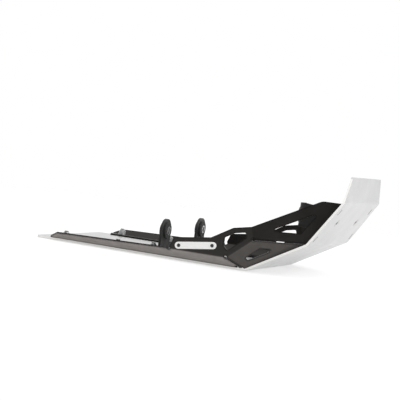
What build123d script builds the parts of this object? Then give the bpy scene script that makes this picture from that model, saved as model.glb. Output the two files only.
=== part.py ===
from build123d import *
import math
import os

# A motorcycle skid plate. One folded aluminium sheet runs under the engine and up in front of it.
# A black sheet, folded into a band, an upright facet and two flaps, closes each side.
# Two brackets carry it on rubber bushes.
# Millimetres, X forward, Y to the left, Z up, origin on the ground under the middle of the plate.

# Base plate
base_thickness = 3.0
base_bend_radius = 4.0            # inside of each bend
bottom_length = 327.8             # rear edge to the bottom bend
lower_front_length = 97.0
upper_front_length = 77.0
crest_length = 37.0
lower_front_angle = 29.4          # degrees above the bottom
upper_front_angle = 57.0
crest_angle = 86.0
bottom_width = 226.0
upper_bend_inset = 8.0            # each edge, in from the edge of the bottom
crest_inset = 28.0
crest_corner_radius = 6.0
rear_corner_radius = 8.0

# Side panel sheet and folds, set out from the bottom bend
panel_thickness = 2.5
panel_bend_radius = 1.5           # inside of each bend
panel_overhang = 11.0             # upright facet beyond the edge of the bottom
band_slope = 46.3                 # degrees from the horizontal
band_fold_height = 15.4
lower_fold_setback = 26.5         # where the fold to the lower flap starts
middle_fold_advance = 10.3        # where the two flap folds meet
middle_fold_height = 45.9
seam_middle_inset = 9.0           # upper flap's seam, in from the edge at the middle bend
seam_upper_inset = 16.9           # and at the upper bend

# Side panel outline
band_rear_margin = 21.6           # from the rear edge of the bottom
band_rear_lean = 14.7
band_rear_height = 11.0
facet_rear_setback = 112.9
facet_rear_lean = 6.5
facet_rear_height = 32.5
step_setback = 51.6
step_height = 40.1
shoulder_setback = 20.5
shoulder_height = 58.1
fold_top_height = 63.2
flap_shoulder_setback = 33.0      # from the upper bend
flap_top_drop = 1.0               # below the upper bend
facet_corner_radius = 3.0
step_radius = 5.0
shoulder_radius = 6.0
flap_shoulder_radius = 16.0
slit_width = 1.6                  # between the lower flap and its neighbours
slit_shift = 0.3                  # of the slit's middle, down from the seam
relief_radius = 2.3               # round end of each slit and fold
flap_tip_setback = 7.0            # lower flap, short of the middle bend

# Windows in the three front facets
facet_window_fold_margin = 7.2
facet_window_front_margin = 9.5
facet_window_edge_margin = 7.6
facet_window_foot_margin = 7.8
facet_window_setback = 31.6
upper_window_margin = 13.8
upper_window_front_margin = 17.0
lower_window_fold_margin = 16.2
lower_window_edge_margin = 9.2
lower_window_slit_margin = 12.5
lower_window_rear_margin = 13.8
window_radius = 2.0

# Tabs of the upper flap, through slots in the upper front
tab_length = 10.0
lower_tab_position = 12.0         # from the middle bend along the seam
upper_tab_position = 62.0
tab_clearance = 0.15
tab_root = 2.0                    # of the tab inside the flap
seam_overrun = 1.5                # times the seam, where the base plate trims a flap

# Lip of the side panel, screwed to the bottom
lip_width = 20.0
lip_front_gap = 10.0              # short of the lower flap
lip_relief_radius = 2.6           # round reliefs at the ends of the lip's fold
band_tip_trim = 1.0               # off the band's front corner, along the seam
lip_corner = 6.0
lip_screw_count = 4
lip_screw_end = 22.0              # from each end of the lip

# Front bracket, a channel behind the upper front with an ear turned in at the end of each arm
bracket_thickness = 4.0
bracket_bend_radius = 3.0         # inside of each bend
front_bracket_width = 152.0
front_bracket_height = 36.0
front_bracket_centre = 40.0       # along the upper front from the middle bend
front_screw_spacing = 110.0
front_ear_reach = 49.0            # ears' rear face, behind the screws
front_mount_rise = 4.2            # bush centre, above the screws
mount_eye_radius = 17.0

# Rear bracket, an angle across the bottom with two upright ears
rear_bracket_setback = 139.1      # front face behind the bottom bend
rear_bracket_gap = 3.0            # from the lip at each end
rear_bracket_depth = 28.0
rear_flange_height = 16.0
rear_mount_height = 36.0
rear_screw_end = 12.0             # from each end of the foot
rear_screw_count = 4

# Rubber bushes and their sleeves
bush_groove_radius = 9.0
bush_flange_radius = 12.0
bush_flange_thickness = 3.0
sleeve_radius = 6.0
sleeve_bore_radius = 4.25
sleeve_proud = 0.5
bush_clearance = 0.1

# M6 fasteners
screw_radius = 3.0
screw_head_radius = 6.0
screw_recess = 0.2                # head below the sheet's face
screw_clearance = 0.3
head_clearance = 0.1
socket_width = 4.0
socket_depth = 2.0
thread_past_nut = 1.5
washer_radius = 6.0
washer_thickness = 1.6
nut_width = 10.0
nut_height = 5.0
nut_collar_radius = 4.2
nut_collar_height = 1.5
nut_chamfer = 0.5
thread_clearance = 0.05

# Badge plate on the right panel, left bare
badge_length = 62.0
badge_width = 10.0
badge_thickness = 1.2
badge_setback = 72.7
badge_height = 25.5
badge_edge_round = 0.4
rivet_radius = 1.5
rivet_head_radius = 2.5
rivet_head_height = 0.8
rivet_end = 6.0                   # from the end of the badge
rivet_tail_radius = 2.3
rivet_tail_length = 2.0
rivet_clearance = 0.05


# Plane geometry
def polar(length, degrees):
    """The sketch vector of a length at an angle."""
    return Vector(length * math.cos(math.radians(degrees)), length * math.sin(math.radians(degrees)))


def left_of(start, end):
    """The unit sketch vector to the left of a run."""
    run = (end - start).normalized()
    return Vector(-run.Y, run.X)


def offset_path(points, distance):
    """An open path moved to its left, with mitred corners."""
    sides = [left_of(a, b) for a, b in zip(points, points[1:])]
    moved = [points[0] + sides[0] * distance]
    for corner, before, after in zip(points[1:], sides, sides[1:]):
        moved.append(corner + (before + after) * (distance / (1 + before.dot(after))))
    moved.append(points[-1] + sides[-1] * distance)
    return moved


def rounded_face(points, radii):
    """A face with its own radius at each corner."""
    return make_face(FilletPolyline(*points, radius=radii, close=True))


def bent_sheet(points, thickness, inside_radius):
    """The section of a folded sheet that lies to the left of its outer path."""
    inner = offset_path(points, thickness)
    bends = len(points) - 2
    outer_radii = [0] + [inside_radius + thickness] * bends + [0]
    inner_radii = [0] + [inside_radius] * bends + [0]
    return rounded_face(points + inner[::-1], outer_radii + inner_radii)


def meeting_point(line_a, line_b):
    """Where two sketch lines cross, each given by two points."""
    start, run = line_a[0], line_a[1] - line_a[0]
    other, other_run = line_b[0], line_b[1] - line_b[0]
    gap = other - start
    share = (gap.X * other_run.Y - gap.Y * other_run.X) / (run.X * other_run.Y - run.Y * other_run.X)
    return start + run * share


def window_face(lines, margins, radius):
    """The face inside an anticlockwise ring of lines, each moved in by its margin."""
    moved = []
    for (start, end), margin in zip(lines, margins):
        shift = left_of(start, end) * margin
        moved.append((start + shift, end + shift))
    corners = [meeting_point(moved[i - 1], moved[i]) for i in range(len(moved))]
    return rounded_face(corners, [radius] * len(corners))


def across(face, width):
    """A side-view face extruded evenly to both sides."""
    return extrude(Plane.XZ * face, amount=width / 2, both=True)


# Base plate profile, seen from the side with X to the right and Z up
front_reach = (polar(lower_front_length, lower_front_angle) + polar(upper_front_length, upper_front_angle)
               + polar(crest_length, crest_angle)).X
rear_x = -(bottom_length + front_reach) / 2
bend_x = rear_x + bottom_length
bottom_bend = Vector(bend_x, 0)
middle_bend = bottom_bend + polar(lower_front_length, lower_front_angle)
upper_bend = middle_bend + polar(upper_front_length, upper_front_angle)
crest = upper_bend + polar(crest_length, crest_angle)
base_path = [Vector(rear_x, 0), bottom_bend, middle_bend, upper_bend, crest]
inner_path = offset_path(base_path, base_thickness)
inner_middle, inner_upper, inner_crest = inner_path[2:]

upper_front_plane = Plane(origin=(inner_middle.X, 0, inner_middle.Y), x_dir=(0, -1, 0),
                          z_dir=(-math.sin(math.radians(upper_front_angle)), 0,
                                 math.cos(math.radians(upper_front_angle))))


def space_above(path, bend_radius):
    """All that lies inside a bent path, across the whole width."""
    corner = Vector(path[0].X, path[-1].Y)
    radii = [0] + [bend_radius] * (len(path) - 2) + [0, 0]
    return across(rounded_face(path + [corner], radii), 2 * bottom_width)


# Side panel setting out, on the right side
cutter_depth = 6 * panel_thickness
panel_y = bottom_width / 2 + panel_overhang
slope = math.radians(band_slope)
band_rise = band_fold_height - base_thickness
foot_y = band_rise / math.tan(slope) - panel_y
lower_corner = Vector(bend_x - lower_fold_setback, -panel_y, band_fold_height)
middle_corner = Vector(bend_x + middle_fold_advance, -panel_y, middle_fold_height)
rear_corner = Vector(bend_x - facet_rear_setback, -panel_y, band_fold_height)

# The upper flap holds its seam on the upper front and the corner where the folds meet
seam_middle = Vector(inner_middle.X, seam_middle_inset - bottom_width / 2, inner_middle.Y)
seam_upper = Vector(inner_upper.X, upper_bend_inset + seam_upper_inset - bottom_width / 2, inner_upper.Y)
seam_run = (seam_upper - seam_middle).normalized()
upper_flap_normal = seam_run.cross(middle_corner - seam_middle).normalized()
fold_lean = -upper_flap_normal.Z / upper_flap_normal.X
fold_top = middle_corner + Vector(fold_lean, 0, 1) * (fold_top_height - middle_fold_height)


def on_upper_flap(x, z):
    """The point of the upper flap's outer face that the side view shows at x and z."""
    rise = (x - middle_corner.X) * upper_flap_normal.X + (z - middle_corner.Z) * upper_flap_normal.Z
    return Vector(x, middle_corner.Y - rise / upper_flap_normal.Y, z)


fold_run = middle_corner - lower_corner
lower_flap_normal = (seam_middle - lower_corner).cross(fold_run).normalized()

# Outer faces of the facets, each normal pointing out and each facet below its fold or above the ground
lip_plane = Plane(origin=(0, foot_y, base_thickness), x_dir=(1, 0, 0), z_dir=(0, 0, -1))
band_plane = Plane(origin=(0, -panel_y, band_fold_height), x_dir=(1, 0, 0),
                   z_dir=(0, -math.sin(slope), -math.cos(slope)))
facet_plane = Plane(origin=(0, -panel_y, 0), x_dir=(1, 0, 0), z_dir=(0, -1, 0))
upper_flap_plane = Plane(origin=middle_corner, x_dir=Vector(0, 0, 1).cross(upper_flap_normal),
                         z_dir=upper_flap_normal)
lower_flap_plane = Plane(origin=lower_corner, x_dir=fold_run, z_dir=lower_flap_normal)

# The seam of the band and the lower flap runs down from the lower corner to the bottom
band_seam_run = band_plane.z_dir.cross(lower_flap_normal)
band_seam_foot = lower_corner + band_seam_run * (-band_rise / band_seam_run.Z)
lip_front_corner = band_seam_foot - Vector(lip_front_gap, 0, 0)
lip_rear_corner = Vector(rear_x + band_rear_margin, foot_y, base_thickness)
flap_seam = seam_middle - middle_corner


def flat_point(plane, point):
    """A point of space in a plane's own sketch frame."""
    local = plane.to_local_coords(point)
    return Vector(local.X, local.Y)


def facet_slab(plane, face):
    """A facet's face, as thick as the sheet, inside its outer plane."""
    return extrude(plane * face, amount=panel_thickness, dir=-plane.z_dir)


def seam_frame(start, run, plane_a, plane_b):
    """X along a seam, Z outward between its two facets and Y towards the second facet."""
    return Plane(origin=start, x_dir=run, z_dir=plane_a.z_dir + plane_b.z_dir)


def panel_lip():
    rear = lip_rear_corner.X
    front = lip_front_corner.X
    points = [Vector(rear, 0), Vector(rear + lip_corner, -lip_width), Vector(front - lip_corner, -lip_width),
              Vector(front, 0)]
    return facet_slab(lip_plane, rounded_face(points, [0, lip_corner / 2, lip_corner / 2, 0]))


def panel_band():
    rear = lip_rear_corner.X
    foot = -band_rise / math.sin(slope)
    rear_top = (band_rear_height - band_fold_height) / math.sin(slope)
    up_seam = (lower_corner - band_seam_foot).normalized()
    tip = flat_point(band_plane, band_seam_foot + up_seam * band_tip_trim)
    points = [Vector(rear, foot), Vector(lip_front_corner.X, foot), tip, Vector(lower_corner.X, 0),
              Vector(rear_corner.X, 0), Vector(rear + band_rear_lean, rear_top)]
    return facet_slab(band_plane, rounded_face(points, [0, 0, 0, 0, 0, facet_corner_radius]))


# Outline of the upright facet, X and Z
facet_rear_top = Vector(rear_corner.X + facet_rear_lean, facet_rear_height)
facet_step = Vector(bend_x - step_setback, step_height)
facet_shoulder = Vector(bend_x - shoulder_setback, shoulder_height)
facet_fold_top = Vector(fold_top.X, fold_top.Z)
facet_lower = Vector(lower_corner.X, lower_corner.Z)
facet_middle = Vector(middle_corner.X, middle_corner.Z)


def panel_facet():
    points = [Vector(rear_corner.X, rear_corner.Z), facet_lower, facet_middle, facet_fold_top, facet_shoulder,
              facet_step, facet_rear_top]
    radii = [0, 0, 0, 0, shoulder_radius, step_radius, facet_corner_radius]
    return facet_slab(facet_plane, rounded_face(points, radii))


# Outline of the upper flap, in its own plane
flap_top = upper_bend.Y - flap_top_drop
flap_middle = Vector(0, 0)
flap_fold_top = flat_point(upper_flap_plane, fold_top)
flap_shoulder = flat_point(upper_flap_plane, on_upper_flap(upper_bend.X - flap_shoulder_setback, flap_top))
flap_seam_middle = flat_point(upper_flap_plane, seam_middle)
flap_seam_upper = flat_point(upper_flap_plane, seam_upper)


def panel_upper_flap():
    overshoot = Vector(upper_front_length / 2, 0)
    points = [flap_middle, flap_seam_middle * seam_overrun,
              Vector(flap_seam_upper.X, flap_shoulder.Y) + overshoot, flap_shoulder, flap_fold_top]
    return facet_slab(upper_flap_plane, rounded_face(points, [0, 0, 0, flap_shoulder_radius, 0]))


def panel_lower_flap():
    tip = middle_corner + flap_seam * (1 - flap_tip_setback / flap_seam.length)
    flat_tip = flat_point(lower_flap_plane, tip)
    flat_foot = flat_point(lower_flap_plane, band_seam_foot) * seam_overrun
    below_tip = Vector(flat_tip.X, flat_tip.Y - lower_front_length / 3)
    flat_middle = flat_point(lower_flap_plane, middle_corner)
    points = [Vector(0, 0), flat_foot, below_tip, flat_tip, flat_middle]
    flap = facet_slab(lower_flap_plane, rounded_face(points, [0] * len(points)))
    mitre = seam_frame(lower_corner, band_seam_foot - lower_corner, band_plane, lower_flap_plane)
    return flap & mitre * Pos(0, bottom_width / 2, 0) * Box(bottom_width, bottom_width, bottom_width)


def panel_windows():
    """Window cutters: the upright facet's, the upper flap's and the lower flap's."""
    rear_line = Vector(bend_x - facet_window_setback, 0)
    facet_lines = [(facet_lower, facet_middle), (facet_middle, facet_fold_top),
                   (facet_fold_top, facet_shoulder), (facet_shoulder, facet_step),
                   (rear_line + Vector(0, 1), rear_line), (facet_step, facet_lower)]
    facet_margins = [facet_window_fold_margin, facet_window_front_margin, facet_window_edge_margin,
                     facet_window_edge_margin, 0, facet_window_foot_margin]
    upper_lines = [(flap_middle, flap_seam_middle), (flap_seam_middle, flap_seam_upper),
                   (flap_shoulder, flap_fold_top)]
    upper_margins = [upper_window_margin, upper_window_front_margin, upper_window_margin]
    flat_foot = flat_point(lower_flap_plane, band_seam_foot)
    flat_seam = flat_point(lower_flap_plane, seam_middle)
    flat_middle = flat_point(lower_flap_plane, middle_corner)
    flat_lower = Vector(0, 0)
    lower_lines = [(flat_lower, flat_foot), (flat_foot, flat_seam), (flat_seam, flat_middle),
                   (flat_middle, flat_lower)]
    lower_margins = [lower_window_rear_margin, lower_window_edge_margin, lower_window_slit_margin,
                     lower_window_fold_margin]
    cutters = []
    for plane, lines, margins in ((facet_plane, facet_lines, facet_margins),
                                  (upper_flap_plane, upper_lines, upper_margins),
                                  (lower_flap_plane, lower_lines, lower_margins)):
        face = window_face(lines, margins, window_radius)
        cutters.append(extrude(plane * face, amount=cutter_depth / 2, both=True))
    return cutters


def relief(point, radius, *planes):
    """A round relief through the sheet where folds end."""
    axis = sum((plane.z_dir for plane in planes), Vector())
    return Plane(origin=point, z_dir=axis) * Cylinder(radius, cutter_depth)


def slit(start, run, plane_a, plane_b):
    """A narrow cut along the seam of two facets, on the first one's side, and past its end."""
    length = run.length * seam_overrun
    cut = Box(length, slit_width, cutter_depth)
    return seam_frame(start, run, plane_a, plane_b) * Pos(length / 2, -slit_shift, 0) * cut


def fold_edges(solid, plane_a, plane_b, depth):
    """The edges along a fold, on the outer faces or at a depth inside them."""
    def on_both(point):
        gaps = [abs((point - plane.origin).dot(plane.z_dir) + depth) for plane in (plane_a, plane_b)]
        return max(gaps) < 0.001
    return [edge for edge in solid.edges() if on_both(edge @ 0.1) and on_both(edge @ 0.9)]


def tab_block(position, margin, reach):
    """A tab of the upper flap at a place along its seam, with room around it."""
    frame = Plane(origin=seam_middle + seam_run * position, x_dir=seam_run, z_dir=upper_flap_plane.z_dir)
    block = Box(tab_length + 2 * margin, tab_root + reach, panel_thickness + 2 * margin)
    return frame * Pos(0, (tab_root - reach) / 2, -panel_thickness / 2) * block


def lip_screw_places():
    rear = lip_rear_corner.X + lip_screw_end
    front = lip_front_corner.X - lip_screw_end
    pitch = (front - rear) / (lip_screw_count - 1)
    return [(rear + i * pitch, foot_y + lip_width / 2) for i in range(lip_screw_count)]


def make_side_panel():
    panel = panel_lip() + panel_band() + panel_facet() + panel_lower_flap() + panel_upper_flap()
    panel = panel & space_above(inner_path, base_bend_radius)
    panel = panel - slit(lower_corner, band_seam_foot - lower_corner, band_plane, lower_flap_plane)
    panel = panel - slit(middle_corner, flap_seam, lower_flap_plane, upper_flap_plane)
    panel = panel - relief(lower_corner, relief_radius, band_plane, facet_plane, lower_flap_plane)
    panel = panel - relief(middle_corner, relief_radius, facet_plane, lower_flap_plane, upper_flap_plane)
    panel = panel - relief(rear_corner, relief_radius, band_plane, facet_plane)
    for corner in (lip_front_corner, lip_rear_corner):
        panel = panel - relief(corner, lip_relief_radius, lip_plane, band_plane)
    for cutter in panel_windows():
        panel = panel - cutter
    folds = ((lip_plane, band_plane), (band_plane, facet_plane), (facet_plane, lower_flap_plane),
             (facet_plane, upper_flap_plane))
    for depth, radius in ((0, panel_bend_radius + panel_thickness), (panel_thickness, panel_bend_radius)):
        edges = []
        for plane_a, plane_b in folds:
            edges += fold_edges(panel, plane_a, plane_b, depth)
        panel = fillet(edges, radius)
    for position in (lower_tab_position, upper_tab_position):
        tab = tab_block(position, 0, 3 * base_thickness)
        panel = panel + (tab & space_above(base_path, base_bend_radius + base_thickness))
    for x, y in lip_screw_places():
        panel = panel - Pos(x, y, base_thickness) * Cylinder(screw_radius + screw_clearance, cutter_depth)
    return panel


# Fasteners, each standing on its local origin with its axis along local Z
def countersunk_screw(length):
    """A socket screw with its head's face just above the origin and its point up."""
    head_depth = screw_head_radius - screw_radius
    head = Pos(0, 0, head_depth / 2) * Cone(screw_head_radius, screw_radius, head_depth)
    shank = Pos(0, 0, length / 2) * Cylinder(screw_radius, length)
    socket = extrude(RegularPolygon(socket_width / 2, 6, major_radius=False), amount=socket_depth)
    return Pos(0, 0, screw_recess) * (head + shank - socket)


def countersunk_hole(depth):
    """The cutter for a countersunk screw through a depth of sheet."""
    head_depth = screw_head_radius - screw_radius
    sink_radius = screw_head_radius + screw_recess + head_clearance
    cone = Pos(0, 0, head_depth / 2) * Cone(sink_radius, sink_radius - head_depth, head_depth)
    return cone + Cylinder(screw_radius + screw_clearance, 4 * depth)


def washer():
    hole = Cylinder(screw_radius + screw_clearance, washer_thickness)
    return Pos(0, 0, washer_thickness / 2) * (Cylinder(washer_radius, washer_thickness) - hole)


def lock_nut():
    hexagon = extrude(RegularPolygon(nut_width / 2, 6, major_radius=False), amount=nut_height)
    corner_cone = Cylinder(nut_width / math.sqrt(3), nut_height)
    corner_cone = chamfer(corner_cone.edges().filter_by(GeomType.CIRCLE), nut_chamfer)
    collar = Pos(0, 0, nut_height + nut_collar_height / 2) * Cylinder(nut_collar_radius, nut_collar_height)
    collar = fillet(collar.edges().filter_by(GeomType.CIRCLE).sort_by(Axis.Z)[-1], nut_collar_height / 2)
    nut = (hexagon & Pos(0, 0, nut_height / 2) * corner_cone) + collar
    return nut - Cylinder(screw_radius + thread_clearance, 4 * nut_height)


def screw_length(clamped):
    """From the sheet's face through the clamped sheet, washer and nut."""
    stack = base_thickness + clamped + washer_thickness + nut_height + nut_collar_height
    return stack + thread_past_nut - screw_recess


def screw_set(places, clamped):
    """Screws, washers and nuts at places whose local Z points in through the base plate."""
    inside = Pos(0, 0, base_thickness + clamped)
    on_washer = Pos(0, 0, base_thickness + clamped + washer_thickness)
    screws = [place * countersunk_screw(screw_length(clamped)) for place in places]
    washers = [place * inside * washer() for place in places]
    nuts = [place * on_washer * lock_nut() for place in places]
    return screws, washers, nuts


def bush_ring(inner_radius, outer_radius, length):
    return Cylinder(outer_radius, length) - Cylinder(inner_radius, length)


def rubber_bush():
    """A grooved rubber bush, centred on the bracket sheet that it grips."""
    length = bracket_thickness + 2 * bush_flange_thickness
    body = Cylinder(bush_flange_radius, length)
    body = fillet(body.edges().filter_by(GeomType.CIRCLE), bush_flange_thickness / 3)
    body = body - bush_ring(bush_groove_radius, 2 * bush_flange_radius, bracket_thickness)
    return body - Cylinder(sleeve_radius + bush_clearance, 2 * length)


def bush_sleeve():
    length = bracket_thickness + 2 * (bush_flange_thickness + sleeve_proud)
    return bush_ring(sleeve_bore_radius, sleeve_radius, length)


# Places where the screws enter the base plate, local Z pointing in
base_outer_plane = upper_front_plane.offset(-base_thickness)
front_screw_places = [Location(base_outer_plane) * Pos(y, front_bracket_centre, 0)
                      for y in (-front_screw_spacing / 2, front_screw_spacing / 2)]
rear_bracket_front = bend_x - rear_bracket_setback
rear_bracket_width = -2 * (foot_y + lip_width + rear_bracket_gap)
rear_mount_spacing = rear_bracket_width - 2 * mount_eye_radius
rear_screw_x = rear_bracket_front - rear_bracket_depth / 2 - bracket_thickness / 2
rear_screw_pitch = (rear_bracket_width - 2 * rear_screw_end) / (rear_screw_count - 1)
rear_screw_places = [Pos(rear_screw_x, rear_screw_end - rear_bracket_width / 2 + i * rear_screw_pitch, 0)
                     for i in range(rear_screw_count)]
lip_places = [Pos(x, side * y, 0) for side in (1, -1) for x, y in lip_screw_places()]

# Places of the rubber bushes, local Z along the bolt
front_screw_line = upper_front_plane.from_local_coords(Vector(0, front_bracket_centre, 0))
front_ear_x = front_screw_line.X - front_ear_reach
front_ear_end = front_ear_x + 3 * bracket_thickness
front_mount_height = front_screw_line.Z + front_mount_rise
front_bush_x = front_ear_x + bracket_thickness / 2
front_bush_y = front_bracket_width / 2 - mount_eye_radius - bracket_bend_radius
front_bush_places = [Pos(front_bush_x, y, front_mount_height) * Rot(0, 90, 0)
                     for y in (-front_bush_y, front_bush_y)]
rear_bush_x = rear_bracket_front - bracket_thickness / 2
rear_bush_places = [Pos(rear_bush_x, y, rear_mount_height) * Rot(0, 90, 0)
                    for y in (-rear_mount_spacing / 2, rear_mount_spacing / 2)]


def make_base_plate():
    base = across(bent_sheet(base_path, base_thickness, base_bend_radius), bottom_width)
    half = bottom_width / 2
    right = [Vector(half, 0), Vector(half, middle_bend.Y), Vector(half - upper_bend_inset, upper_bend.Y),
             Vector(half - crest_inset, inner_crest.Y)]
    left = [Vector(-point.X, point.Y) for point in right[::-1]]
    radii = [0, 0, 0, crest_corner_radius, crest_corner_radius, 0, 0, 0]
    front_view = rounded_face(right + left, radii)
    base = base & extrude(Plane.YZ * front_view, amount=bottom_length, both=True)
    rear_edges = base.edges().filter_by(Axis.Z).group_by(Axis.X)[0]
    base = fillet(rear_edges, rear_corner_radius)
    for position in (lower_tab_position, upper_tab_position):
        slot = tab_block(position, tab_clearance, 4 * base_thickness)
        base = base - slot - mirror(slot, about=Plane.XZ)
    for place in front_screw_places + rear_screw_places + lip_places:
        base = base - place * countersunk_hole(base_thickness)
    return base


def front_ear():
    """The right ear: an upright angle, rounded about the bush, with a relief at the foot of its bend."""
    half = front_bracket_width / 2
    bend_size = bracket_thickness + bracket_bend_radius
    path = [Vector(front_ear_x, 0), Vector(front_ear_x, -half), Vector(front_ear_end, -half)]
    angle = extrude(bent_sheet(path, bracket_thickness, bracket_bend_radius), amount=2 * front_mount_height)
    strap = Rectangle(half - front_bush_y, 2 * mount_eye_radius)
    strap = Pos((-half - front_bush_y) / 2, front_mount_height) * strap
    outline = strap + Pos(-front_bush_y, front_mount_height) * Circle(mount_eye_radius)
    ear = angle & extrude(Plane.YZ * outline, amount=bottom_length, both=True)
    ear_low = front_mount_height - mount_eye_radius
    corner = rounded_face([Vector(front_ear_x, ear_low), Vector(front_ear_x + bend_size, ear_low),
                           Vector(front_ear_x, ear_low + bend_size)], [0] * 3)
    return ear - Pos(0, -half, 0) * across(corner, 2 * bend_size)


def make_front_bracket():
    """A web on the upper front, two arms and an ear turned in at the end of each arm."""
    half = front_bracket_width / 2
    path = [Vector(-half, bottom_length), Vector(-half, 0), Vector(half, 0), Vector(half, bottom_length)]
    slope_run = polar(1, upper_front_angle)
    section = Plane(origin=upper_front_plane.origin, x_dir=(0, 1, 0), z_dir=(slope_run.X, 0, slope_run.Y))
    channel = bent_sheet(path, bracket_thickness, bracket_bend_radius)
    web_low = inner_middle + slope_run * (front_bracket_centre - front_bracket_height / 2)
    web_high = web_low + slope_run * front_bracket_height
    arm_face = rounded_face([web_low, web_high, Vector(front_ear_end, front_mount_height + mount_eye_radius),
                             Vector(front_ear_end, front_mount_height - mount_eye_radius)], [0] * 4)
    bracket = extrude(section * channel, amount=bottom_length, both=True) & across(arm_face, bottom_width)
    ear = front_ear()
    bracket = bracket + ear + mirror(ear, about=Plane.XZ)
    for place in front_screw_places:
        bracket = bracket - place * Cylinder(screw_radius + screw_clearance, 8 * bracket_thickness)
    for place in front_bush_places:
        bracket = bracket - place * Cylinder(bush_groove_radius + bush_clearance, 2 * bracket_thickness)
    return bracket


def make_rear_bracket():
    """An angle across the bottom, its upright flange raised into two ears."""
    ear_top = rear_mount_height + mount_eye_radius
    path = [Vector(rear_bracket_front - rear_bracket_depth, base_thickness),
            Vector(rear_bracket_front, base_thickness), Vector(rear_bracket_front, ear_top)]
    bracket = across(bent_sheet(path, bracket_thickness, bracket_bend_radius), rear_bracket_width)
    half = rear_bracket_width / 2
    flange_top = base_thickness + rear_flange_height
    front_view = rounded_face([Vector(-half, base_thickness), Vector(half, base_thickness),
                               Vector(half, flange_top), Vector(-half, flange_top)], [0] * 4)
    for y in (-rear_mount_spacing / 2, rear_mount_spacing / 2):
        eye = CenterArc((y, rear_mount_height), mount_eye_radius, 0, 360)
        foot = Line((y - mount_eye_radius, base_thickness), (y + mount_eye_radius, base_thickness))
        front_view = front_view + make_hull([eye.edge(), foot.edge()])
    bracket = bracket & extrude(Plane.YZ * front_view, amount=bottom_length, both=True)
    for place in rear_screw_places:
        bracket = bracket - place * Cylinder(screw_radius + screw_clearance, 8 * bracket_thickness)
    for place in rear_bush_places:
        bracket = bracket - place * Cylinder(bush_groove_radius + bush_clearance, 2 * bracket_thickness)
    return bracket


# Badge plate, level with the edge above it
badge_tilt = math.degrees(math.atan2(facet_step.Y - facet_rear_top.Y, facet_step.X - facet_rear_top.X))
badge_place = Location(facet_plane) * Pos(bend_x - badge_setback, badge_height, 0) * Rot(0, 0, badge_tilt)
rivet_spots = [badge_place * Pos(x, 0, 0)
               for x in (rivet_end - badge_length / 2, badge_length / 2 - rivet_end)]


def rivet_hole():
    return Cylinder(rivet_radius + rivet_clearance, cutter_depth)


def make_badge_plate():
    plate = extrude(SlotOverall(badge_length, badge_width), amount=badge_thickness)
    plate = fillet(plate.faces().sort_by(Axis.Z)[-1].edges(), badge_edge_round)
    plate = badge_place * plate
    for spot in rivet_spots:
        plate = plate - spot * rivet_hole()
    return plate


def make_rivet():
    """A blind rivet: a domed head on the badge and a swelled tail behind the panel."""
    head = Pos(0, 0, badge_thickness + rivet_head_height / 2) * Cylinder(rivet_head_radius, rivet_head_height)
    head = fillet(head.edges().filter_by(GeomType.CIRCLE).sort_by(Axis.Z)[-1], 0.8 * rivet_head_height)
    grip = badge_thickness + panel_thickness
    shank = Pos(0, 0, badge_thickness - grip / 2) * Cylinder(rivet_radius, grip)
    tail_middle = -panel_thickness - rivet_tail_length / 2
    tail = Pos(0, 0, tail_middle) * Cylinder(rivet_tail_radius, rivet_tail_length)
    tail = fillet(tail.edges().filter_by(GeomType.CIRCLE).sort_by(Axis.Z)[0], 0.4 * rivet_tail_length)
    return head + shank + tail


# All nodes
side_panel = make_side_panel()
right_panel = side_panel
for rivet_spot in rivet_spots:
    right_panel = right_panel - rivet_spot * rivet_hole()
front_screws, front_washers, front_nuts = screw_set(front_screw_places, bracket_thickness)
rear_screws, rear_washers, rear_nuts = screw_set(rear_screw_places, bracket_thickness)
lip_screws, lip_washers, lip_nuts = screw_set(lip_places, panel_thickness)

nodes = {
    "base_plate": make_base_plate(),
    "side_panel_right": right_panel,
    "side_panel_left": mirror(side_panel, about=Plane.XZ),
    "badge_plate": make_badge_plate(),
    "badge_rivets": [spot * make_rivet() for spot in rivet_spots],
    "front_bracket": make_front_bracket(),
    "front_bracket_screws": front_screws,
    "front_bracket_washers": front_washers,
    "front_bracket_nuts": front_nuts,
    "front_rubber_bushes": [place * rubber_bush() for place in front_bush_places],
    "front_sleeves": [place * bush_sleeve() for place in front_bush_places],
    "rear_bracket": make_rear_bracket(),
    "rear_bracket_screws": rear_screws,
    "rear_bracket_washers": rear_washers,
    "rear_bracket_nuts": rear_nuts,
    "rear_rubber_bushes": [place * rubber_bush() for place in rear_bush_places],
    "rear_sleeves": [place * bush_sleeve() for place in rear_bush_places],
    "side_panel_screws": lip_screws,
    "side_panel_washers": lip_washers,
    "side_panel_nuts": lip_nuts,
}

os.makedirs("parts", exist_ok=True)
for name, shape in nodes.items():
    solids = shape if isinstance(shape, list) else [shape]
    pieces = [solid for group in solids for solid in group.solids()]
    export_step(Compound(children=pieces), f"parts/{name}.step")
print("front bushes", front_bush_x, front_bush_y, front_mount_height)
print("rear bushes", rear_bush_x, rear_mount_spacing / 2)
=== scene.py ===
# %% [markdown]
# # A motorcycle skid plate
#
# A skid plate is a shield that is bolted on below, against stones and knocks. This one is a pale
# aluminium sheet, folded up at the front, with a black folded sheet on each side, two brackets, and
# the screws that hold them together.
#
# The shapes come ready made as a fixed frame, in metres, with X forward and Z up. They have all
# their folds, holes and screws, so nothing is modelled here. This lesson gives each piece the
# finish it has on the real object, and then sets up the floor, the light and the camera.

# %% Load the frame
import math

import bpy
from mathutils import Matrix, Vector


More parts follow.
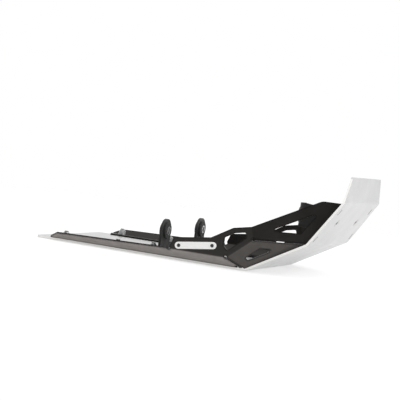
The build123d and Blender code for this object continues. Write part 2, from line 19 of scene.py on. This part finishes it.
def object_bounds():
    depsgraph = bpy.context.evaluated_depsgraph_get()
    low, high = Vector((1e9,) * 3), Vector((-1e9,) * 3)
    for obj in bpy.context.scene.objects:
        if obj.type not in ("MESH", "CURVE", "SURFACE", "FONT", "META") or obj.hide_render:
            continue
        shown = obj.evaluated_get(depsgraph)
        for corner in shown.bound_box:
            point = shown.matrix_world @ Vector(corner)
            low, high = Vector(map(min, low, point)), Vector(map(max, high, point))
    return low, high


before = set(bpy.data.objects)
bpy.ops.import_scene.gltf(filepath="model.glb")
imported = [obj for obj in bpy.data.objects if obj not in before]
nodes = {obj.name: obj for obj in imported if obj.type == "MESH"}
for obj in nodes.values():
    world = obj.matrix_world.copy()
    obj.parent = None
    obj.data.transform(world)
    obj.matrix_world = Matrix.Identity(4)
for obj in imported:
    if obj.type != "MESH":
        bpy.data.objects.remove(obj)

frame_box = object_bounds()
scene = bpy.context.scene
scene.view_settings.view_transform = "Standard"
print(len(nodes), "nodes in a box of", [[round(c, 4) for c in corner] for corner in frame_box])

# %% [markdown]
# ## Wiring nodes
#
# A finish is a small network of nodes, and so is the light that comes from all around. Both could
# be wired by hand in the shader editor. A script can be read, measured and run again, so a few
# short calls do the wiring here: add a node, join two values into one, and turn one range of values
# into another.


# %% Helper for wiring
class Wiring:
    """Short calls that add nodes to a tree and wire them up."""

    def __init__(self, tree):
        self.tree = tree

    def node(self, kind, **settings):
        made = self.tree.nodes.new(kind)
        for name, value in settings.items():
            setattr(made, name, value)
        return made

    def wire(self, source, target):
        self.tree.links.new(source, target)

    def join(self, operation, first, second):
        joined = self.node("ShaderNodeMath", operation=operation)
        self.wire(first, joined.inputs[0])
        self.wire(second, joined.inputs[1])
        return joined.outputs["Value"]

    def times(self, first, second):
        return self.join("MULTIPLY", first, second)

    def larger(self, first, second):
        return self.join("MAXIMUM", first, second)

    def spread(self, source, low, high, to_low=0.0, to_high=1.0):
        """Turns source values from low to high into values from to_low to to_high."""
        ranged = self.node("ShaderNodeMapRange")
        limits = {"From Min": low, "From Max": high, "To Min": to_low, "To Max": to_high}
        for name, value in limits.items():
            ranged.inputs[name].default_value = value
        self.wire(source, ranged.inputs["Value"])
        return ranged.outputs["Result"]


print("Wiring:", Wiring.__doc__)

# %% [markdown]
# ## A workbench for finishes
#
# Every finish here is a Principled shader with a little variation in colour, gloss and height. The
# variation could be painted on, but noise measured in metres needs no unwrapping and stays the
# right size on every piece. Each piece sits at the frame's origin, so Object coordinates are the
# frame's own metres. Most of a noise texture lies between 0.3 and 0.7, so that stretch is what the
# finishes spread out.

# %% Helper for finishes
NOISE_LOW, NOISE_HIGH = 0.3, 0.7
MIX_FIRST, MIX_SECOND, MIX_RESULT = 6, 7, 2     # the colour sockets of a Mix node


class Finish(Wiring):
    """A material with a Principled shader, and short calls for what feeds it."""

    def __init__(self, name, metallic=0.0):
        self.material = bpy.data.materials.new(name)
        self.material.use_nodes = True
        super().__init__(self.material.node_tree)
        self.sockets = self.tree.nodes["Principled BSDF"].inputs
        self.sockets["Metallic"].default_value = metallic
        self.metres = self.node("ShaderNodeTexCoord").outputs["Object"]

    def noise(self, size, detail=3.0, stretch=(1, 1, 1)):
        """Noise whose blots are about size metres across, drawn out along an axis by stretch."""
        scaled = self.node("ShaderNodeMapping")
        scaled.inputs["Scale"].default_value = [1 / (size * s) for s in stretch]
        self.wire(self.metres, scaled.inputs["Vector"])
        texture = self.node("ShaderNodeTexNoise")
        texture.inputs["Scale"].default_value = 1.0
        texture.inputs["Detail"].default_value = detail
        self.wire(scaled.outputs["Vector"], texture.inputs["Vector"])
        return texture.outputs["Fac"]

    def wander(self, size, low=0.0, high=1.0, **shape):
        """A value that drifts between low and high over the surface."""
        return self.spread(self.noise(size, **shape), NOISE_LOW, NOISE_HIGH, low, high)

    def blend(self, amount, first, second):
        """A colour between two, by amount; each is a colour or another node's output."""
        mixed = self.node("ShaderNodeMix", data_type="RGBA")
        self.wire(amount, mixed.inputs["Factor"])
        for place, value in ((MIX_FIRST, first), (MIX_SECOND, second)):
            if isinstance(value, tuple):
                mixed.inputs[place].default_value = (*value, 1)
            else:
                self.wire(value, mixed.inputs[place])
        return mixed.outputs[MIX_RESULT]

    def feed(self, **sources):
        """Wires values into the shader's sockets, such as roughness=..."""
        for name, source in sources.items():
            self.wire(source, self.sockets[name.replace("_", " ").title()])

    def raised_by(self, source, height):
        """A bump of that height in metres."""
        bump = self.node("ShaderNodeBump")
        bump.inputs["Distance"].default_value = height
        bump.inputs["Strength"].default_value = 1.0
        self.wire(source, bump.inputs["Height"])
        self.feed(normal=bump.outputs["Normal"])

    def onto(self, *names):
        for name in names:
            mesh = nodes[name].data
            mesh.materials.clear()
            mesh.materials.append(self.material)
        print(self.material.name, "of", len(self.tree.nodes), "nodes on", ", ".join(names))


print("Finish:", Finish.__doc__)

# %% [markdown]
# ## The aluminium sheet
#
# The base plate is cut from rolled sheet, folded, blasted and anodised to a pale satin. Rolling
# leaves a faint grain along the sheet, and blasting leaves a slight mottling. A metal shader with a
# broad gloss gives the satin; the noise drawn out along X is the grain, and the large noise is the
# mottling.
#
# The cut sides are deburred by hand, and their white is a painted highlight: they are painted near
# white and made non-metal, so that they read as a white line, not as a mirror. They could be a
# second material, but they are simply the faces that look sideways, so the direction of the face
# blends them in.


# %% Satin aluminium for the base plate
def facing(finish, axis):
    """How far a face looks along an axis of the frame, from -1 to 1."""
    parts = finish.node("ShaderNodeSeparateXYZ")
    finish.wire(finish.node("ShaderNodeNewGeometry").outputs["True Normal"], parts.inputs["Vector"])
    return parts.outputs[axis]


dark_satin = (0.59, 0.59, 0.59)
light_satin = (0.65, 0.65, 0.65)
# painted highlight: near white for the cut sides, in place of the light they catch
painted_highlight_white = (0.87, 0.86, 0.84)

sheet = Finish("satin_aluminium_sheet")
sideways = facing(sheet, "Y")
# the faces that look sideways, which get the painted highlight and lose their metal
highlight_on_sides = sheet.larger(sheet.spread(sideways, -0.7, -0.9), sheet.spread(sideways, 0.7, 0.9))
satin = sheet.blend(sheet.wander(0.035), dark_satin, light_satin)
sheet.feed(base_color=sheet.blend(highlight_on_sides, satin, painted_highlight_white),
           metallic=sheet.spread(highlight_on_sides, 0, 1, 1, 0),
           roughness=sheet.wander(0.0012, 0.38, 0.48, stretch=(30, 1, 1)))
sheet.raised_by(sheet.noise(0.0009), 0.00006)
sheet.onto("base_plate")

# %% [markdown]
# ## Sharp edges
#
# Along a cut edge paint pulls thin and wears first, and the brackets show that wear. On the side
# panels the edges are painted dark instead, a painted shade along each slit and rim. The edges
# could be picked by hand, but Blender can find them. A Bevel node gives the normal that a rounded
# edge would have. Where that normal turns away from the true one, an edge is near.


# %% Helper for edges
def edges(finish, width):
    """1 on sharp edges, 0 on flat sheet, falling off over about width metres."""
    rounded = finish.node("ShaderNodeBevel", samples=4)
    rounded.inputs["Radius"].default_value = width
    likeness = finish.node("ShaderNodeVectorMath", operation="DOT_PRODUCT")
    finish.wire(rounded.outputs["Normal"], likeness.inputs[0])
    finish.wire(finish.node("ShaderNodeNewGeometry").outputs["Normal"], likeness.inputs[1])
    return finish.spread(likeness.outputs["Value"], 0.98, 0.80)


print("edges:", edges.__doc__)

# %% [markdown]
# ## The black side panels
#
# The side panels are powder coated after bending. The coat is a satin black, a little warm, with a
# fine skin like the peel of an orange, which bump gives.
#
# Faces that look down, such as the long low band, are painted a pale grey: a painted reflection of
# the bright floor below them. It could be painted by height, but what counts is where a face looks,
# so the normal places it, and noise makes it patchy. The ends of the tabs look forward, through the
# base plate, and stay black. Along cut edges the grey is left out and the coat is dark and dull, a
# painted shade so that each slit and rim reads as a dark line.

# %% Where the painted floor reflection lies on the side panels
coat = Finish("black_powder_coat")
# the sharp edges of the side panels, where a painted shade is laid along each slit and rim
shaded_rim = edges(coat, 0.004)
looks_down = coat.spread(facing(coat, "Z"), -0.27, -0.68)
not_a_tab_end = coat.spread(facing(coat, "X"), 0.6, 0.8, 1, 0)
patchy = coat.spread(coat.noise(0.012, detail=5.0), 0.2, 0.8, 0.7, 1.0)
away_from_shaded_rim = coat.spread(shaded_rim, 0, 0.6, 1, 0)
# how much painted floor reflection each place gets
painted_reflection = coat.times(coat.times(looks_down, patchy), coat.times(not_a_tab_end, away_from_shaded_rim))
print("film placed by", len(coat.tree.nodes), "nodes")

# %% Powder coat for the side panels
deep_black = (0.003, 0.0028, 0.0026)
soft_black = (0.005, 0.0047, 0.0045)
# painted reflection: the grey of the bright floor, as mirrored by faces that look down
floor_reflection_grey = (0.40, 0.37, 0.352)
warm_gloss = (1.0, 0.93, 0.88)

coat.sockets["Specular IOR Level"].default_value = 0.53
coat.sockets["Specular Tint"].default_value = (*warm_gloss, 1)
black = coat.blend(coat.wander(0.03), deep_black, soft_black)
coat.feed(base_color=coat.blend(painted_reflection, black, floor_reflection_grey),
          # on the rims the black coat turns metallic and mirrors almost nothing: a painted shade
          metallic=coat.spread(shaded_rim, 0, 1, 0, 0.8),
          roughness=coat.larger(coat.wander(0.02, 0.33, 0.40), coat.spread(shaded_rim, 0, 1, 0, 0.7)))
coat.raised_by(coat.noise(0.0008, detail=2.0), 0.00005)
coat.onto("side_panel_right", "side_panel_left")

# %% [markdown]
# ## The brackets
#
# The brackets are thicker sheet with a matte black coat, a little browner and duller than that of
# the panels. It wears first where a spanner or a hand passes, so patches along the edges are rubbed
# to grey. Edge and noise together choose the patches, because wear all along an edge would look
# drawn on.

# %% Matte coat for the brackets
matte_black = (0.011, 0.0105, 0.0102)
brown_black = (0.019, 0.0178, 0.017)
rubbed_grey = (0.16, 0.15, 0.145)

matte = Finish("matte_black_coat")
unworn = matte.blend(matte.wander(0.02), matte_black, brown_black)
worn = matte.times(edges(matte, 0.0012), matte.spread(matte.noise(0.005), 0.4, 0.7))
matte.feed(base_color=matte.blend(worn, unworn, rubbed_grey),
           roughness=matte.wander(0.008, 0.44, 0.6))
matte.raised_by(matte.noise(0.0015), 0.00008)
matte.onto("front_bracket", "rear_bracket")

# %% [markdown]
# ## Badge plate and rivets
#
# A small bare plate is riveted to the right panel. It is brushed along its length and covered by a
# clear lacquer, which makes it read as white and not as a mirror, so its shader isn't a metal. Its
# strokes are noise drawn out along X, and one noise gives their colour, gloss and height, as one
# stroke does. The two rivets are aluminium with a dark oxide skin.

# %% Brushed badge plate
grey_stroke = (0.89, 0.88, 0.87)
white_stroke = (0.95, 0.94, 0.93)

brushed = Finish("brushed_badge_plate")
strokes = brushed.noise(0.0004, stretch=(40, 1, 1))
whiter = brushed.spread(strokes, NOISE_LOW, NOISE_HIGH)
brushed.feed(base_color=brushed.blend(whiter, grey_stroke, white_stroke),
             roughness=brushed.spread(strokes, NOISE_LOW, NOISE_HIGH, 0.36, 0.48))
brushed.raised_by(strokes, 0.00002)
brushed.onto("badge_plate")

# %% Dark rivets
thick_oxide = (0.045, 0.045, 0.047)
thin_oxide = (0.085, 0.084, 0.085)

oxide = Finish("dark_oxide_rivets", metallic=1.0)
oxide.feed(base_color=oxide.blend(oxide.noise(0.0015), thick_oxide, thin_oxide),
           roughness=oxide.wander(0.0008, 0.3, 0.48))
oxide.onto("badge_rivets")

# %% [markdown]
# ## Screws
#
# The screws are stainless and a little dull, and their sockets are painted near black, a painted
# shade. It could be a dark disk in each socket, but an Ambient Occlusion node, which measures how
# open a place is, finds every hollow by itself.


# %% Stainless screws
def painted_hollow_shade(finish, reach):
    """1 deep in a hollow, 0 out in the open."""
    open_to_air = finish.node("ShaderNodeAmbientOcclusion", samples=8)
    open_to_air.inputs["Distance"].default_value = reach
    return finish.spread(open_to_air.outputs["AO"], 0.92, 0.55)


dull_steel = (0.46, 0.455, 0.45)
socket_shade = (0.01, 0.01, 0.01)

stainless = Finish("stainless_screws", metallic=1.0)
# painted shade: the sockets and other hollows are painted near black
stainless.feed(base_color=stainless.blend(painted_hollow_shade(stainless, 0.005), dull_steel, socket_shade),
               roughness=stainless.wander(0.0007, 0.28, 0.42))
stainless.raised_by(stainless.noise(0.0005), 0.00002)
stainless.onto("front_bracket_screws", "rear_bracket_screws", "side_panel_screws")

# %% [markdown]
# ## Washers, nuts and sleeves
#
# The washers and the lock nuts are stainless, stamped and tumbled, and the sleeves in the bushes
# are zinc plated. Both skins look cloudy, in patches of a few millimetres, so one finish does for
# all of them. It could be one even grey, but noise gives the clouds.

# %% Cloudy steel
dark_cloud = (0.52, 0.53, 0.54)
bright_cloud = (0.68, 0.68, 0.67)

cloudy = Finish("cloudy_steel", metallic=1.0)
cloudy.feed(base_color=cloudy.blend(cloudy.wander(0.003), dark_cloud, bright_cloud),
            roughness=cloudy.wander(0.001, 0.28, 0.44))
cloudy.raised_by(cloudy.noise(0.0006), 0.00002)
cloudy.onto("front_bracket_washers", "rear_bracket_washers", "side_panel_washers",
            "front_bracket_nuts", "rear_bracket_nuts", "side_panel_nuts",
            "front_sleeves", "rear_sleeves")

# %% [markdown]
# ## Rubber bushes
#
# The bushes are moulded rubber: nearly black, dull, with a fine bloom on the skin. A soft sheen
# could give the bloom, but a high roughness that varies a little is enough, with a low bump for the
# texture of the mould.

# %% Moulded rubber
rubber_black = (0.016, 0.016, 0.016)
bloom = (0.03, 0.029, 0.028)

rubber = Finish("moulded_rubber")
rubber.feed(base_color=rubber.blend(rubber.wander(0.004), rubber_black, bloom),
            roughness=rubber.wander(0.002, 0.68, 0.85))
rubber.raised_by(rubber.noise(0.0007), 0.00006)
rubber.onto("front_rubber_bushes", "rear_rubber_bushes")

# %% [markdown]
# ## Floor
#
# A pale studio floor catches a soft shadow and fades into a white surround. A floor that is white
# in the picture could be made by stronger lamps, but these would bleach the piece too. So the floor
# glows a little, only to the camera and in reflections, and throws no extra light on the piece.

# %% Floor disk
floor_radius = 1.6
floor_sides = 96
floor_drop = 0.0005

turns = [2 * math.pi * i / floor_sides for i in range(floor_sides)]
floor_mesh = bpy.data.meshes.new("studio_floor")
rim_points = [(floor_radius * math.cos(t), floor_radius * math.sin(t), 0) for t in turns]
floor_mesh.from_pydata(rim_points, [], [list(range(floor_sides))])
floor = bpy.data.objects.new("studio_floor", floor_mesh)
floor.location.z = -floor_drop
scene.collection.objects.link(floor)
print("floor of radius", floor_radius)

# %% Floor paper
fade_starts = 0.7
fade_ends = 1.5
glow = 0.50

paper = Finish("floor_paper")
paper.sockets["Base Color"].default_value = (0.5, 0.5, 0.5, 1)
paper.sockets["Roughness"].default_value = 0.9
paper.sockets["Specular IOR Level"].default_value = 0.0
paper.sockets["Emission Color"].default_value = (1, 1, 1, 1)
rays = paper.node("ShaderNodeLightPath").outputs
mirrored = paper.larger(rays["Is Glossy Ray"], rays["Is Transmission Ray"])
seen = paper.larger(rays["Is Camera Ray"], mirrored)
from_middle = paper.node("ShaderNodeVectorMath", operation="LENGTH")
paper.wire(paper.metres, from_middle.inputs[0])
paper.feed(emission_strength=paper.spread(seen, 0, 1, 0, glow),
           alpha=paper.spread(from_middle.outputs["Value"], fade_starts, fade_ends, 1, 0))
floor_mesh.materials.append(paper.material)
print("floor fades out from", fade_starts, "to", fade_ends)

# %% [markdown]
# ## Surround
#
# The surround is white and lights everything evenly. Satin metal and satin paint show their folds
# by what they mirror, and an even white would hide them. Dark screens could stand around the piece,
# but they would throw shadows. So only in reflections, the surround is white behind and above, and
# darkens low down on the camera's side, as a studio does.

# %% White surround
back_and_up = (0, 0.7, 0.7)

world = bpy.data.worlds.new("white_surround")
world.use_nodes = True
scene.world = world
surround = Wiring(world.node_tree)
background = surround.tree.nodes["Background"].inputs
background["Color"].default_value = (1, 1, 1, 1)
height = surround.node("ShaderNodeVectorMath", operation="DOT_PRODUCT")
height.inputs[1].default_value = back_and_up
surround.wire(surround.node("ShaderNodeTexCoord").outputs["Generated"], height.inputs[0])
in_mirrors = surround.spread(height.outputs["Value"], -0.6, 0.1, 0.02, 1.0)
strength = surround.node("ShaderNodeMix")
strength.inputs["A"].default_value = 1.0
surround.wire(in_mirrors, strength.inputs["B"])
surround.wire(surround.node("ShaderNodeLightPath").outputs["Is Glossy Ray"], strength.inputs["Factor"])
surround.wire(strength.outputs["Result"], background["Strength"])
print("surround of", len(surround.tree.nodes), "nodes")

# %% [markdown]
# ## Lamps
#
# The surround alone would leave no direction in the light. Three weak lamps give it some: one on
# the camera's side, one behind, and one before the front of the sheet, where it is folded up. They
# could be small and bright, but satin metal would mirror them as hot spots, so they are wide disks.


# %% Lamps
def soft_lamp(name, place, size, watts):
    lamp = bpy.data.lights.new(name, "AREA")
    lamp.shape = "DISK"
    lamp.size = size
    lamp.energy = watts
    hung = bpy.data.objects.new(name, lamp)
    hung.location = place
    hung.rotation_euler = (plate_middle - Vector(place)).to_track_quat("-Z", "Y").to_euler()
    scene.collection.objects.link(hung)
    print(name, "at", place, "with", watts, "W")


plate_middle = (Vector(frame_box[0]) + Vector(frame_box[1])) / 2
soft_lamp("key_lamp", (1.2, -1.3, 1.6), 1.2, 4)
soft_lamp("back_lamp", (0.3, 1.6, 1.4), 2.2, 3)
soft_lamp("front_lamp", (1.8, -0.2, 0.9), 1.8, 20)

# %% [markdown]
# ## Camera
#
# The camera stands low beside the right front corner, and is turned a little about its own axis. It
# could be aimed by eye, but its place and its long lens were worked out from the corners of the
# plate, so they are written as plain numbers: three angles, a place and a focal length.

# %% Direction of the camera
camera_turn = math.radians(20.30)
camera_rise = math.radians(2.46)
camera_roll = math.radians(7.50)
towards_camera = Vector((math.sin(camera_turn) * math.cos(camera_rise),
                         -math.cos(camera_turn) * math.cos(camera_rise), math.sin(camera_rise)))
level_right = (-towards_camera).cross(Vector((0, 0, 1))).normalized()
level_up = level_right.cross(-towards_camera)
right = math.cos(camera_roll) * level_right + math.sin(camera_roll) * level_up
up = -math.sin(camera_roll) * level_right + math.cos(camera_roll) * level_up
print("from the plate to the camera:", [round(c, 3) for c in towards_camera])

# %% Camera
camera_place = Vector((0.6730, -1.8774, 0.1698))
lens = bpy.data.cameras.new("camera")
lens.sensor_width = 36.0
lens.lens = 120.285
camera = bpy.data.objects.new("camera", lens)
turned = Matrix((right, up, towards_camera)).transposed().to_4x4()
camera.matrix_world = Matrix.Translation(camera_place) @ turned
scene.collection.objects.link(camera)
scene.camera = camera
print("camera at", [round(c, 3) for c in camera_place])

# %% [markdown]
# ## Sizes
#
# Finishes don't change the size of the piece. The box of the frame is printed when the frame is
# loaded.
